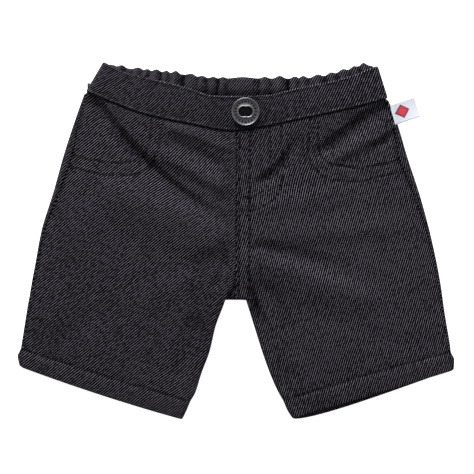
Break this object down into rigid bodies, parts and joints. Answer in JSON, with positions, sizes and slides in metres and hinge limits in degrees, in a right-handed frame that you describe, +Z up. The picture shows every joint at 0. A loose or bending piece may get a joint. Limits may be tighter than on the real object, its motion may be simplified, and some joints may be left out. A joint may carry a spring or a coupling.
{
  "type": "doll jeans shorts",
  "caption": "Doll-size black denim shorts lying flat on their back, with a folded front waistband, a metal jeans button, a gathered elastic back waist and a folded white label in the side seam.",
  "frame": {"origin": "middle of the footprint, on the surface that the shorts lie on", "axes": "+Z up from that surface, +Y towards the waist, +X towards the wearer's left"},
  "size_m": [0.2186, 0.1779, 0.0088],
  "materials": {
    "black_denim": "matt twill, black with pale weft flecks",
    "denim_casing": "matt twill, gathered on elastic",
    "woven_ribbon": "satin-woven white ribbon",
    "nickel": "nickel-plated, polished rim and a darker pressed ring",
    "dark_metal": "blackened"
  },
  "bodies": {
    "root": {"front_right": "black_denim", "front_left": "black_denim", "back_right": "black_denim", "back_left": "black_denim", "waistband_front": "black_denim", "waistband_back": "denim_casing", "side_label": "woven_ribbon", "button_ring": "nickel", "button_stud": "dark_metal"}
  },
  "joints": []
}
